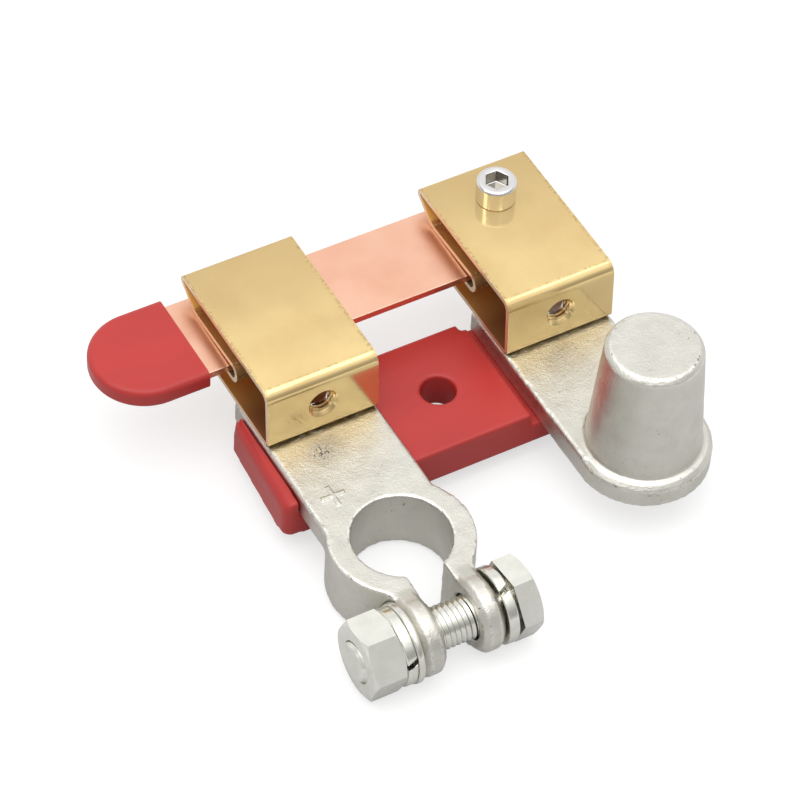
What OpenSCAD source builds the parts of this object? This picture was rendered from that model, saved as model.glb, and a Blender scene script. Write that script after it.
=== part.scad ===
// Battery knife disconnect switch. A copper blade on a vertical screw bridges
// two folded brass jaws. Each jaw is screwed to a cast terminal arm, one ending
// in a battery clamp and the other in a tapered post, on a moulded base plate.
//
// The axis of the clamp's bore is the Z axis, its lower face lies on z = 0,
// +X runs along the blade towards the pivot and +Y towards the back.

/* [Clamp terminal] */
// Radius of the bore that grips the battery post
bore_r = 8.86; // [8:0.01:9.6]
// Wall of the clamp ring
ring_wall = 4.1; // [3:0.1:6]
// Height of the clamp ring, level with the top of the arms
ring_h = 12.2; // [10:0.1:16]
// Width of the slit between the two ears
slit_w = 7.1; // [4:0.1:8.4]
// Thickness of each ear
ear_t = 4.4; // [3:0.1:6]
// Radius of the rounded ears
ear_r = 7; // [6.6:0.1:8]
// Rounding of the ears' rim, cut as a chamfer
ear_edge = 1.1; // [0.3:0.1:1.5]
// Distance from the bore's axis to the line where the ears' rims start
ear_start = 10.6; // [9.8:0.1:12]
// Slope at which the ears' tops rise from that line to their round ends
ear_rise = 12; // [6:1:13]
// Distance from the bore's axis to the clamp bolt's axis
bolt_dist = 16.7; // [15:0.1:20]
// Height of the clamp bolt's axis
bolt_z = 6.6; // [5:0.1:7]
// Concave fillets where the arm and the ears run into the ring
waist_r = 3; // [1:0.1:5]

/* [Arms] */
// Width of both terminal arms
arm_w = 22; // [18:0.1:26]
// Thickness of both terminal arms
arm_t = 4.8; // [3:0.1:7]
// Width of the bevel around the arms' top edges
arm_edge = 0.5; // [0.1:0.1:1]

/* [Post terminal] */
// Radius of the post where it leaves the plate
post_base_r = 10.4; // [9:0.1:11]
// Radius of the post at its top
post_top_r = 8.75; // [8:0.05:10]
// Height of the post above the arm
post_h = 23.3; // [14:0.1:30]
// Bevel around the post's top
post_edge = 0.9; // [0.3:0.1:1.5]
// Radius of the round end that carries the post
plate_r = 12.3; // [11.6:0.1:14]
// Bevel around the round end's top
plate_edge = 1; // [0.3:0.1:1.5]
// Distance of the post's axis to the right of the pivot jaw's centre
post_dx = 1.3; // [0:0.1:2]
// Distance of the post's axis behind the clamp bore's axis
post_dy = 0.6; // [-2:0.1:4]

/* [Jaws] */
// Width of each jaw along the blade
jaw_w = 21.8; // [18:0.1:22]
// Depth of each jaw from its front wall to its back edge
jaw_d = 33.3; // [31:0.1:36]
// Height of each jaw
jaw_h = 12.7; // [11.8:0.1:14]
// Thickness of the brass sheet
sheet_t = 0.9; // [0.6:0.05:1]
// Inside radius of the bend at the foot of the front wall
foot_r = 0.3; // [0.1:0.1:1]
// Inside radius of the bend at the top of the front wall
bend_r = 1.5; // [0.5:0.1:2]
// Angle by which the front wall leans back
wall_lean = 4; // [0:0.5:6]
// Inside radius of the tight hairpin at the top's back edge
hairpin_r = 0.2; // [0.1:0.05:0.5]
// Slope of the short ramp between the hairpin and the leaf
ramp_angle = 36; // [32:1:50]
// Inside radius of the bends where the leaves pinch the blade
pinch_r = 4; // [2.5:0.1:5]
// Inside radius of the mouth fold that joins the two leaves
mouth_r = 1.2; // [1:0.1:2]
// Distance from the jaw's back edge to the centre of the mouth fold
mouth_depth = 19.6; // [18.6:0.1:21.6]
// Angle of the lead-in flare at the back of the lower leaf
flare_angle = 25; // [10:1:35]
// Length of the lead-in flare
flare_len = 2.4; // [1:0.1:4]
// Distance between the centres of the two jaws
jaw_pitch = 47.9; // [46:0.1:56]
// Distance of the contact jaw's centre to the left of the bore's axis
jaw_dx = 0.4; // [0:0.1:2]
// Distance from the bore's axis back to the jaws' back edges
jaw_back = 61.1; // [59:0.1:66]
// Length by which the sheet under the box stops short of the back edge
floor_setback = 0.6; // [0:0.1:3]
// Radius of the tapped hole in each front wall
tap_r = 2.45; // [2:0.05:3]
// Wall of the drawn collar behind that hole
tap_wall = 0.7; // [0.4:0.05:1]
// Length of the drawn collar inside the box
tap_collar = 1.1; // [0.5:0.1:2]

/* [Blade and grip] */
// Width of the copper blade
blade_w = 17.7; // [15:0.1:19]
// Thickness of the copper blade
blade_t = 1.5; // [1:0.05:2]
// Height of the blade's middle above the jaws' underside
blade_z = 6.5; // [6.2:0.1:6.8]
// Distance from the jaws' back edge to the middle of the closed blade
blade_back = 10.1; // [9.4:0.1:10.6]
// Distance of the pivot's axis behind the middle of the closed blade
pivot_dy = 1.6; // [0:0.1:2]
// Distance of the pivot's axis to the right of the pivot jaw's centre
pivot_dx = 0.4; // [-1:0.1:1]
// Width of the moulded grip
grip_w = 20; // [19.5:0.1:24]
// Thickness of the moulded grip
grip_t = 4; // [3:0.1:6]
// Length of the moulded grip
grip_len = 17.9; // [15:0.1:30]
// Gap between the grip and the contact jaw
grip_gap = 4.4; // [2:0.1:10]
// Bevel around the grip's faces
grip_edge = 0.9; // [0.3:0.1:1.3]
// Length of blade that is held inside the grip
tang_len = 11; // [6:0.1:12]
// Rounding of the corners at the blade's end inside the grip
tang_r = 4; // [1:0.1:6]
// Depth of the shallow dish for the thumb
dish_depth = 0.5; // [0.2:0.1:0.8]
// Radius of the shallow dish's rim
dish_r = 6; // [4:0.1:7]

/* [Base plate] */
// Thickness of the base under the arms
floor_t = 4.7; // [3.5:0.1:7]
// Height of the middle block above the arms' seat
block_rise = 2.8; // [1:0.1:4]
// Depth of the base from front to back
base_d = 25.1; // [20:0.1:28]
// Distance of the base's front face in front of the jaws' front walls
base_lead = 12.8; // [8:0.1:13.5]
// Width of the groove between the middle block and the post's arm
groove_w = 1.8; // [0.5:0.1:4]
// Thickness of the lip beside the clamp's arm
lip_t = 3; // [2:0.1:5]
// Height of the lip above the arms' seat
lip_rise = 3.6; // [2:0.1:4.5]
// Length of the lip
lip_len = 22.5; // [15:0.1:24]
// Angle by which the base's left side runs towards the arm
lip_slant = 3.8; // [0:0.1:5]
// Rounding of the lip's outer corner at its back end
lip_end = 1.5; // [0.5:0.1:1.8]
// Width of the small step in the middle block's back right corner
notch_w = 1.3; // [0.5:0.1:3]
// Depth of that step
notch_d = 1.6; // [0.5:0.1:3]
// Radius of the mounting hole
mount_r = 3.25; // [2:0.05:4]
// Distance of the mounting hole behind the base's front face
mount_dy = 12.8; // [8:0.1:16]
// Distance of the mounting hole to the right of the block's left end
mount_dx = 12.2; // [8:0.1:16]
// Rounding of the base's upright corners
corner_r = 2; // [0.5:0.1:2.5]

/* [Fasteners] */
// Radius of the pivot screw's shank
pivot_r = 2.5; // [2:0.05:2.6]
// Radius of the pivot screw's cap head
cap_r = 3.7; // [3.4:0.05:4.5]
// Height of the pivot screw's cap head
cap_h = 4.4; // [4:0.1:6]
// Width across the flats of its socket
socket_af = 4; // [3:0.1:4.4]
// Depth of its socket
socket_depth = 2.6; // [1.5:0.1:3.5]
// Length by which the pivot screw's end stands out of its nut
pivot_stand = 1.3; // [0.3:0.1:3]
// Width across the flats of the pivot nut
pivot_nut_af = 8; // [7:0.1:9]
// Thickness of the pivot nut
pivot_nut_t = 4; // [3:0.1:4.5]
// Radius of the jaw screws
jaw_screw_r = 2; // [1.5:0.05:2.5]
// Radius of the jaw screws' countersunk heads
csk_r = 3.8; // [3:0.05:4.5]
// Distance from the jaws' back edge to the jaw screws
jaw_screw_back = 27.4; // [26.2:0.1:27.7]
// Width across the flats of the jaw nuts
jaw_nut_af = 7; // [6:0.1:8]
// Thickness of the jaw nuts
jaw_nut_t = 3.2; // [2.4:0.1:3.4]
// Length by which a screw's end stands out of its nut
thread_stand = 0.7; // [0.3:0.1:2]
// Radius of the clamp bolt
bolt_r = 3.95; // [3:0.05:4]
// Width across the flats of the clamp bolt's head and nut
bolt_af = 13; // [11:0.1:14]
// Thickness of the clamp bolt's head
bolt_head_t = 4.2; // [3:0.1:6]
// Thickness of the clamp nut
clamp_nut_t = 6.3; // [4:0.1:8]
// Turn of the clamp nut about the bolt
clamp_nut_turn = 51; // [0:1:59]
// Turn of the bolt's head about the bolt
bolt_head_turn = 51; // [0:1:59]
// Outer radius of the spring washers
spring_r = 7; // [6:0.1:7.8]
// Thickness of the spring washers
spring_t = 2; // [1:0.1:2.6]
// Width of the slit in the spring washers
spring_slit = 1; // [0.5:0.1:2]
// Slope of that slit
spring_slope = 25; // [10:1:40]
// Outer radius of the flat washer
washer_r = 7.3; // [6:0.1:8]
// Thickness of the flat washer
washer_t = 1.2; // [0.8:0.1:2]

/* [Clearances] */
// Radial clearance of the blade on the pivot screw
pivot_fit = 0.05; // [0.02:0.01:0.1]
// Gap between the leaves and the closed blade
pinch_fit = 0.04; // [0.02:0.01:0.1]
// Radial clearance of the screws in plain holes
hole_fit = 0.25; // [0.1:0.05:0.5]
// Radial clearance of the clamp bolt in the ears
ear_fit = 0.35; // [0.2:0.05:0.6]
// Radial clearance that stands for a thread
thread_fit = 0.03; // [0.02:0.01:0.1]
// Gap between the arms and the base's upright faces
seat_fit = 0.1; // [0.05:0.05:0.3]
// Gap between the grip's moulded pocket and the blade
mould_fit = 0.03; // [0.02:0.01:0.1]
// Gap left beside the loosely tightened clamp washers
washer_play = 0.3; // [0.1:0.05:0.5]
// Radial clearance of the washers in the spot faces beside the ears
spot_fit = 0.3; // [0.1:0.05:0.6]

/* [Hidden] */
$fn = 96;
over = 1;
// Angle of each facet of a sheet's bends
bend_step = 7.5;
// Depth to which a fillet's arc runs into the round that it meets
fillet_bite = 0.02;

ring_r = bore_r + ring_wall;
base_y = jaw_back - jaw_d - base_lead;
pivot_len = jaw_h + pivot_nut_t + pivot_stand;
seat_z = ring_h - arm_t;
base_z = seat_z - floor_t;
arm_back = base_y + base_d;
contact_x = -jaw_dx;
pivot_x = contact_x + jaw_pitch;
post_x = pivot_x + post_dx;
blade_y = jaw_back - blade_back;
axis_x = pivot_x + pivot_dx;
axis_y = blade_y + pivot_dy;
screw_y = jaw_back - jaw_screw_back;

// The jaw's fold, worked out from the two round bends that the leaf touches
blade_mid = ring_h + blade_z;
pinch_rise = blade_t / 2 + pinch_fit;
pinch_out = pinch_r + sheet_t;
mouth_span = pinch_out + mouth_r;
hairpin_out = hairpin_r + sheet_t;
bend_out = bend_r + sheet_t;
foot_out = foot_r + sheet_t;
ramp_len = (jaw_h - hairpin_out + (pinch_out - hairpin_out) * cos(ramp_angle)
  - blade_z - pinch_rise - pinch_out) / sin(ramp_angle);
pinch_back = hairpin_out + (pinch_out - hairpin_out) * sin(ramp_angle)
  + ramp_len * cos(ramp_angle);
leaf_run = mouth_depth - pinch_back;
leaf_drop = pinch_rise + pinch_out;
leaf_dist = sqrt(leaf_run * leaf_run + leaf_drop * leaf_drop);
leaf_len = sqrt(leaf_dist * leaf_dist - mouth_span * mouth_span);
leaf_angle = asin(mouth_span / leaf_dist) - atan2(leaf_drop, leaf_run);

// The leaning front wall, whose outer face keeps its place at half its height
foot_top = foot_out * (1 + sin(wall_lean));
wall_len = (jaw_h - foot_top - bend_out * (1 - sin(wall_lean))) / cos(wall_lean);
sole_len = jaw_d - floor_setback - foot_out * cos(wall_lean)
  + (jaw_h / 2 - foot_top) * tan(wall_lean);
roof_len = sole_len + floor_setback + (foot_out - bend_out) * cos(wall_lean)
  - wall_len * sin(wall_lean) - hairpin_out;

// Each step of a fold is a flat length, the turn that follows it and the
// inside radius of that turn. A positive turn folds towards the sheet's top.
JAW_FOLD = [
  [sole_len, 90 + wall_lean, foot_r],
  [wall_len, 90 - wall_lean, bend_r],
  [roof_len, 180 - ramp_angle, hairpin_r],
  [ramp_len, ramp_angle + leaf_angle, pinch_r],
  [leaf_len, -180 - 2 * leaf_angle, mouth_r],
  [leaf_len, leaf_angle + flare_angle, pinch_r],
  [flare_len, 0, 0]
];

block_x0 = contact_x + arm_w / 2 + seat_fit;
block_x1 = pivot_x - arm_w / 2 - groove_w;
lip_x1 = contact_x - arm_w / 2 - seat_fit;
base_x0 = lip_x1 - lip_t;
base_x1 = pivot_x + arm_w / 2;
csk_depth = csk_r - jaw_screw_r;

ear_x = slit_w / 2 + ear_t;
spring_x = ear_x + washer_play;
head_x = spring_x + spring_t + washer_play * 2;
washer_x = ear_x + washer_play;
nut_spring_x = washer_x + washer_t;
nut_x = nut_spring_x + spring_t;
grip_x1 = contact_x - jaw_w / 2 - grip_gap;
grip_tip = grip_x1 - grip_len;

// General shapes

// Box from one corner to the other
module block(low, high) {
  translate(low) cube(high - low);
}

// Lies along +X what its child draws along +Z
module along_x() {
  rotate([90, 0, 90]) children();
}

// Disc of radius r and height h with a bevel e around its top
module bevelled_disc(r, h, e) {
  rotate_extrude()
    polygon([[0, 0], [r, 0], [r, h - e], [r - e, h], [0, h]]);
}

// Disc of radius r and thickness t with a bevel e around both faces
module coin(r, t, e) {
  rotate_extrude()
    polygon([[0, 0], [r - e, 0], [r, e], [r, t - e], [r - e, t], [0, t]]);
}

// Hexagonal prism whose corners are turned off on the faces named
module hexagon(af, t, top, bottom) {
  corner = af / sqrt(3);
  flat = af / 2;
  fall = (corner - flat) * tan(30);
  intersection() {
    cylinder(h = t, r = corner, $fn = 6);
    rotate_extrude()
      polygon([[0, 0], [bottom ? flat : corner, 0], [corner, bottom ? fall : 0],
        [corner, top ? t - fall : t], [top ? flat : corner, t], [0, t]]);
  }
}

// Hexagonal nut with a hole of radius r
module nut(af, t, r) {
  difference() {
    hexagon(af, t, true, true);
    translate([0, 0, -over]) cylinder(h = t + 2 * over, r = r);
  }
}

// Fillet of radius f between the upright side of a bar, at x = side, and a
// round of radius r about the origin, on the side where y is positive
module waist(side, r, f) {
  fx = side + f;
  reach = r + f - fillet_bite;
  fy = sqrt(reach * reach - fx * fx);
  k = (r - fillet_bite) / reach;
  difference() {
    polygon([[0, 0], [fx * k, fy * k], [side + f / 2, fy], [side, fy], [0, fy]]);
    translate([fx, fy]) circle(r = f);
  }
}

// Folded sheet

// Points along one face of a folded sheet of thickness t, from p at heading a.
// face 0 is the underside, where the fold starts at p, and face 1 the top.
function fold_face(steps, t, face, i = 0, p = [0, 0], a = 0) =
  i == len(steps) ? [p + face * t * [-sin(a), cos(a)]] :
  let (
    turn = steps[i][1],
    side = sign(turn),
    // The underside is the outer face of a fold towards the top
    r = steps[i][2] + (turn > 0 ? t : 0),
    start = p + steps[i][0] * [cos(a), sin(a)],
    centre = start + side * r * [-sin(a), cos(a)],
    count = ceil(abs(turn) / bend_step),
    arc = [for (k = [0:1:count - 1])
      centre + (side * r - face * t) * heading_right(a + turn * k / count)],
    end = centre + side * r * heading_right(a + turn)
  )
  concat(arc, fold_face(steps, t, face, i + 1, end, a + turn));

// Unit vector to the right of a heading
function heading_right(a) = [sin(a), -cos(a)];

// Folded sheet of width w along X that starts along +Y on z = 0
module fold_sheet(steps, w, t) {
  under = fold_face(steps, t, 0);
  top = fold_face(steps, t, 1);
  last = len(top) - 1;
  along_x() linear_extrude(height = w)
    polygon(concat([[0, 0]], under, [for (k = [last:-1:0]) top[k]], [[0, t]]));
}

// One jaw, centred on x, with its tapped hole and its screw hole
module jaw(x) {
  difference() {
    union() {
      translate([x + jaw_w / 2, jaw_back - floor_setback, ring_h])
        rotate([0, 0, 180]) fold_sheet(JAW_FOLD, jaw_w, sheet_t);
      translate([x, jaw_back - jaw_d, ring_h + jaw_h / 2])
        rotate([-90, 0, 0])
          translate([0, 0, sheet_t / 2])
            cylinder(h = sheet_t / 2 + tap_collar, r = tap_r + tap_wall);
    }
    translate([x, jaw_back - jaw_d - over, ring_h + jaw_h / 2])
      rotate([-90, 0, 0])
        cylinder(h = 2 * over + sheet_t + tap_collar, r = tap_r);
    translate([x, jaw_back - jaw_d, ring_h + jaw_h / 2])
      rotate([-90, 0, 0]) translate([0, 0, -over / 2])
        cylinder(h = over, r1 = tap_r + over, r2 = tap_r);
    translate([x, screw_y, ring_h - over])
      cylinder(h = sheet_t + 2 * over, r = jaw_screw_r + hole_fit);
  }
}

module contact_jaw() {
  color("gold") jaw(contact_x);
}

module pivot_jaw() {
  color("gold")
    difference() {
      jaw(pivot_x);
      translate([axis_x, axis_y, ring_h - over])
        cylinder(h = jaw_h + 2 * over, r = pivot_r + hole_fit);
    }
}

// Terminals

// Straight part of an arm, centred on x, from its back end forward to y
module arm(x, y) {
  e = arm_edge;
  half = arm_w / 2;
  translate([x, arm_back, seat_z]) rotate([90, 0, 0])
    linear_extrude(height = arm_back - y)
      polygon([[-half, 0], [half, 0], [half, arm_t - e], [half - e, arm_t],
        [e - half, arm_t], [-half, arm_t - e]]);
}

// Hole for a jaw screw through an arm
module arm_hole(x) {
  translate([x, screw_y, seat_z - over])
    cylinder(h = arm_t + 2 * over, r = jaw_screw_r + hole_fit);
}

// Part of an ear between the line where its rim starts and its round end
module ear_neck() {
  e = ear_edge * 0.85;
  run = (bolt_dist - ear_start) * 0.8;
  translate([slit_w / 2, -ear_start, ring_h]) rotate([-ear_rise, 0, 0])
    translate([0, run * 0.8, 0]) rotate([90, 0, 0])
      linear_extrude(height = run * 1.8)
        polygon([[0, -2 * ring_h], [ear_t, -2 * ring_h], [ear_t, -e], [ear_t - e, 0],
          [e, 0], [0, -e]]);
}

// One ear of the clamp, drawn to the right of the slit
module ear() {
  intersection() {
    union() {
      translate([slit_w / 2, -bolt_dist, bolt_z])
        along_x() coin(ear_r, ear_t, ear_edge);
      ear_neck();
      block([slit_w / 2, -ear_start, 0], [ear_x, -bore_r, ring_h]);
    }
    block([0, -bolt_dist - ear_r, 0], [ear_x, 0, bolt_z + ear_r + over]);
  }
  linear_extrude(height = ring_h)
    mirror([0, 1]) waist(ear_x, ring_r, waist_r);
}

module clamp_terminal() {
  color("silver")
    difference() {
      union() {
        arm(contact_x, 0);
        cylinder(h = ring_h, r = ring_r);
        translate([0, 0, seat_z]) linear_extrude(height = arm_t - arm_edge) {
          waist(contact_x + arm_w / 2, ring_r, waist_r);
          mirror([1, 0]) waist(arm_w / 2 - contact_x, ring_r, waist_r);
        }
        ear();
        mirror([1, 0, 0]) ear();
      }
      translate([0, 0, -over]) cylinder(h = ring_h + 2 * over, r = bore_r);
      block([-slit_w / 2, -bolt_dist - ear_r - over, -over],
        [slit_w / 2, 0, ring_h + over]);
      translate([-ear_x - over, -bolt_dist, bolt_z])
        along_x() cylinder(h = 2 * (ear_x + over), r = bolt_r + ear_fit);
      for (side = [0, 1]) mirror([side, 0, 0])
        translate([ear_x, -bolt_dist, bolt_z])
          along_x() cylinder(h = ring_r, r = washer_r + spot_fit);
      arm_hole(contact_x);
    }
}

module post_terminal() {
  color("silver")
    difference() {
      union() {
        arm(pivot_x, post_dy);
        translate([post_x, post_dy, seat_z])
          bevelled_disc(plate_r, arm_t, plate_edge);
        translate([post_x, post_dy, ring_h]) rotate_extrude()
          polygon([[0, -over], [post_base_r, -over], [post_base_r, 0],
            [post_top_r, post_h - post_edge], [post_top_r - post_edge, post_h],
            [0, post_h]]);
      }
      arm_hole(pivot_x);
    }
}

// Base plate

// Plan of the base with rounded corners
module base_plan() {
  for (x = [base_x0 + corner_r, base_x1 - corner_r])
    for (y = [base_y + corner_r, arm_back - corner_r])
      translate([x, y]) circle(r = corner_r);
  translate([base_x0 + corner_r, base_y])
    square([base_x1 - base_x0 - 2 * corner_r, base_d]);
  translate([base_x0, base_y + corner_r])
    square([base_x1 - base_x0, base_d - 2 * corner_r]);
}

// Turns a child about the base's front left corner onto the slanted left side
module on_left_side() {
  translate([base_x0, base_y, 0]) rotate(-lip_slant) children();
}

// Floor under both arms
module floor_slab() {
  intersection() {
    translate([0, 0, base_z]) linear_extrude(height = floor_t) base_plan();
    on_left_side() block([0, -2 * base_d, base_z - over],
      [2 * (base_x1 - base_x0), 2 * base_d, seat_z + over]);
  }
}

// Lip beside the clamp's arm, with its outer top edge rounded
module lip() {
  round = lip_t * 0.7;
  top = seat_z + lip_rise;
  intersection() {
    on_left_side() translate([0, lip_len, 0]) rotate([90, 0, 0])
      linear_extrude(height = lip_len + over) {
        translate([0, base_z]) square([2 * lip_t, top - base_z - round]);
        translate([round, base_z]) square([2 * lip_t, top - base_z]);
        translate([round, top - round]) circle(r = round);
      }
    on_left_side() translate([0, 0, base_z - over])
      linear_extrude(height = top - base_z + 2 * over) {
        translate([-over, -over]) square([3 * lip_t, lip_len + over - lip_end]);
        translate([lip_end, -over]) square([2 * lip_t, lip_len + over]);
        translate([lip_end, lip_len - lip_end]) circle(r = lip_end);
      }
    translate([0, 0, base_z]) linear_extrude(height = top - base_z) base_plan();
    block([base_x0, base_y, base_z], [lip_x1, base_y + 2 * lip_len, top]);
  }
}

// Middle block between the arms, with a small step in its back right corner
module middle_block() {
  translate([0, 0, seat_z - over]) linear_extrude(height = over + block_rise)
    polygon([[block_x0, base_y], [block_x1, base_y], [block_x1, arm_back - notch_d],
      [block_x1 - notch_w, arm_back - notch_d], [block_x1 - notch_w, arm_back],
      [block_x0, arm_back]]);
}

module base_plate() {
  color("firebrick")
    difference() {
      union() {
        floor_slab();
        middle_block();
        lip();
      }
      translate([block_x0 + mount_dx, base_y + mount_dy, base_z - over])
        cylinder(h = floor_t + block_rise + 2 * over, r = mount_r);
      for (x = [contact_x, pivot_x])
        translate([x, screw_y, base_z - over]) {
          cylinder(h = floor_t + 2 * over, r = jaw_screw_r + hole_fit);
          cylinder(h = over + csk_depth + hole_fit, r1 = csk_r + over + hole_fit,
            r2 = jaw_screw_r);
        }
    }
}

// Blade

module blade() {
  tip = grip_x1 - tang_len;
  half = blade_w / 2;
  color("peru")
    translate([0, 0, blade_mid - blade_t / 2])
      difference() {
        union() {
          block([tip + tang_r, blade_y - half, 0], [axis_x, blade_y + half, blade_t]);
          block([tip, blade_y - half + tang_r, 0], [axis_x, blade_y + half - tang_r, blade_t]);
          for (side = [tang_r - half, half - tang_r])
            translate([tip + tang_r, blade_y + side, 0]) cylinder(h = blade_t, r = tang_r);
          translate([axis_x, blade_y, 0]) cylinder(h = blade_t, r = half);
        }
        translate([axis_x, axis_y, -over])
          cylinder(h = blade_t + 2 * over, r = pivot_r + pivot_fit);
      }
}

module blade_grip() {
  e = grip_edge;
  half = grip_w / 2;
  dish_ball = (dish_r * dish_r + dish_depth * dish_depth) / (2 * dish_depth);
  color("firebrick")
    translate([0, blade_y, blade_mid])
      difference() {
        union() {
          translate([grip_tip + half, 0, -grip_t / 2]) rotate(90)
            rotate_extrude(angle = 180)
              polygon([[0, 0], [half - e, 0], [half, e], [half, grip_t - e],
                [half - e, grip_t], [0, grip_t]]);
          translate([grip_tip + half, 0, -grip_t / 2]) along_x()
            linear_extrude(height = grip_len - half)
              polygon([[e - half, 0], [half - e, 0], [half, e],
                [half, grip_t - e], [half - e, grip_t], [e - half, grip_t],
                [-half, grip_t - e], [-half, e]]);
        }
        block([grip_x1 - tang_len - mould_fit, -blade_w / 2 - mould_fit,
          -blade_t / 2 - mould_fit],
          [grip_x1 + over, blade_w / 2 + mould_fit, blade_t / 2 + mould_fit]);
        translate([grip_tip + half, 0, grip_t / 2 - dish_depth + dish_ball])
          sphere(r = dish_ball);
      }
}

// Fasteners

module pivot_screw() {
  color("silver")
    translate([axis_x, axis_y, ring_h + jaw_h])
      difference() {
        union() {
          bevelled_disc(cap_r, cap_h, 0.4);
          translate([0, 0, -pivot_len]) cylinder(h = pivot_len, r = pivot_r);
        }
        translate([0, 0, cap_h - socket_depth])
          cylinder(h = socket_depth + over, r = socket_af / sqrt(3), $fn = 6);
      }
}

module pivot_nut() {
  color("silver")
    translate([axis_x, axis_y, ring_h - pivot_nut_t])
      nut(pivot_nut_af, pivot_nut_t, pivot_r + thread_fit);
}

// Countersunk screw with a cross recess, up through base, arm and jaw
module jaw_screw(x) {
  top = ring_h + sheet_t + jaw_nut_t + thread_stand;
  color("silver")
    translate([x, screw_y, base_z])
      difference() {
        union() {
          cylinder(h = csk_depth, r1 = csk_r, r2 = jaw_screw_r);
          cylinder(h = top - base_z, r = jaw_screw_r);
        }
        for (turn = [0, 90])
          rotate(turn) cube([csk_r * 1.1, csk_r * 0.22, csk_depth], center = true);
      }
}

module jaw_nut(x) {
  color("silver")
    translate([x, screw_y, ring_h + sheet_t])
      nut(jaw_nut_af, jaw_nut_t, jaw_screw_r + thread_fit);
}

module contact_jaw_screw() {
  jaw_screw(contact_x);
}

module contact_jaw_nut() {
  jaw_nut(contact_x);
}

module pivot_jaw_screw() {
  jaw_screw(pivot_x);
}

module pivot_jaw_nut() {
  jaw_nut(pivot_x);
}

// Puts a child drawn along +Z onto the clamp bolt's axis at x
module on_bolt(x) {
  translate([x, -bolt_dist, bolt_z]) along_x() children();
}

module clamp_bolt() {
  end = nut_x + clamp_nut_t + thread_stand;
  color("gainsboro") {
    on_bolt(-end) cylinder(h = end + head_x, r = bolt_r);
    on_bolt(head_x) rotate(bolt_head_turn) hexagon(bolt_af, bolt_head_t, true, false);
  }
}

module clamp_nut() {
  color("gainsboro")
    on_bolt(-nut_x - clamp_nut_t) rotate(clamp_nut_turn)
      nut(bolt_af, clamp_nut_t, bolt_r + thread_fit);
}

module clamp_flat_washer() {
  color("gainsboro")
    on_bolt(-washer_x - washer_t)
      difference() {
        coin(washer_r, washer_t, 0.2);
        translate([0, 0, -over]) cylinder(h = washer_t + 2 * over, r = bolt_r + ear_fit);
      }
}

// Split spring washer with a slanted slit
module spring_washer() {
  difference() {
    coin(spring_r, spring_t, 0.2);
    translate([0, 0, -over]) cylinder(h = spring_t + 2 * over, r = bolt_r + ear_fit / 2);
    translate([0, 0, spring_t / 2]) rotate([0, spring_slope, 0])
      translate([-spring_slit / 2, 0, -2 * spring_t])
        cube([spring_slit, spring_r + over, 4 * spring_t]);
  }
}

module clamp_spring_washer() {
  color("gainsboro") on_bolt(-nut_spring_x - spring_t) rotate(70) spring_washer();
}

module bolt_spring_washer() {
  color("gainsboro") on_bolt(spring_x) rotate(20) spring_washer();
}

base_plate();
clamp_terminal();
post_terminal();
contact_jaw();
pivot_jaw();
blade();
blade_grip();
pivot_screw();
pivot_nut();
contact_jaw_screw();
contact_jaw_nut();
pivot_jaw_screw();
pivot_jaw_nut();
clamp_bolt();
clamp_nut();
clamp_flat_washer();
clamp_spring_washer();
bolt_spring_washer();
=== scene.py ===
import math

import bmesh
import bpy
from bpy.props import FloatProperty, FloatVectorProperty, PointerProperty
from mathutils import Matrix, Vector, noise


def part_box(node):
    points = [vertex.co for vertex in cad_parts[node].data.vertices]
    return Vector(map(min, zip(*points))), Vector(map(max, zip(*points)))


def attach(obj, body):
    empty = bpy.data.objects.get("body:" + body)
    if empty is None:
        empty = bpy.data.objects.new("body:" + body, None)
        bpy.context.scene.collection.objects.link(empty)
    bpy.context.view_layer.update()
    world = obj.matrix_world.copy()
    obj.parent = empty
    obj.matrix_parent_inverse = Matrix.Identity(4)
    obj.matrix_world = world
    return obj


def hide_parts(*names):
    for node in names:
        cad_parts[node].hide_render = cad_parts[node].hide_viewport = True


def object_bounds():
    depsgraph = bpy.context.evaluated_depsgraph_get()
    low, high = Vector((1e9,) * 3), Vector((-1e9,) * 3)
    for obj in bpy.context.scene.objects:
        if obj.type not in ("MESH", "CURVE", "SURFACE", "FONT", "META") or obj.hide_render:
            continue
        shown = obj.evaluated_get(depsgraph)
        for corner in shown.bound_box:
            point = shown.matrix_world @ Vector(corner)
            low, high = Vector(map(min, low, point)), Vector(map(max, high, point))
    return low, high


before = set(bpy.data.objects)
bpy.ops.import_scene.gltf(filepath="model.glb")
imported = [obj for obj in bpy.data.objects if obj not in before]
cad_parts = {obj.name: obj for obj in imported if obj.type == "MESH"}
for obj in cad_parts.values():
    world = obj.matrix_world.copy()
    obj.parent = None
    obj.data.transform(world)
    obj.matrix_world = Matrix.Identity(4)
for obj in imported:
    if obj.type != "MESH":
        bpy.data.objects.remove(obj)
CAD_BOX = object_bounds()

bl_info = {
    "name": "Battery knife switch",
    "version": (1, 0, 0),
    "blender": (4, 5, 0),
    "location": "3D View > Sidebar > Knife switch",
    "description": "Dresses the battery knife disconnect switch's solids as the real parts",
    "category": "Object",
}

MM = 0.001
WELD = 0.002 * MM
FLAT = math.radians(0.6)
TURN = 2 * math.pi
X_AXIS = Vector((1, 0, 0))
Y_AXIS = Vector((0, 1, 0))
Z_AXIS = Vector((0, 0, 1))
BOLT_HEAD = 4.2 * MM
LEAST_BEND = 0.035
BEND_RANGE = 0.07


# Sizes and colours that a user may change

def length(name, description, mm):
    return FloatProperty(
        name=name, description=description, default=mm * MM, unit="LENGTH", precision=5
    )


def colour(name, description, value):
    return FloatVectorProperty(
        name=name, description=description, default=value, subtype="COLOR",
        size=3, min=0, max=1,
    )


def share(name, description, value):
    return FloatProperty(
        name=name, description=description, default=value, subtype="FACTOR", min=0, max=1
    )


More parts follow.
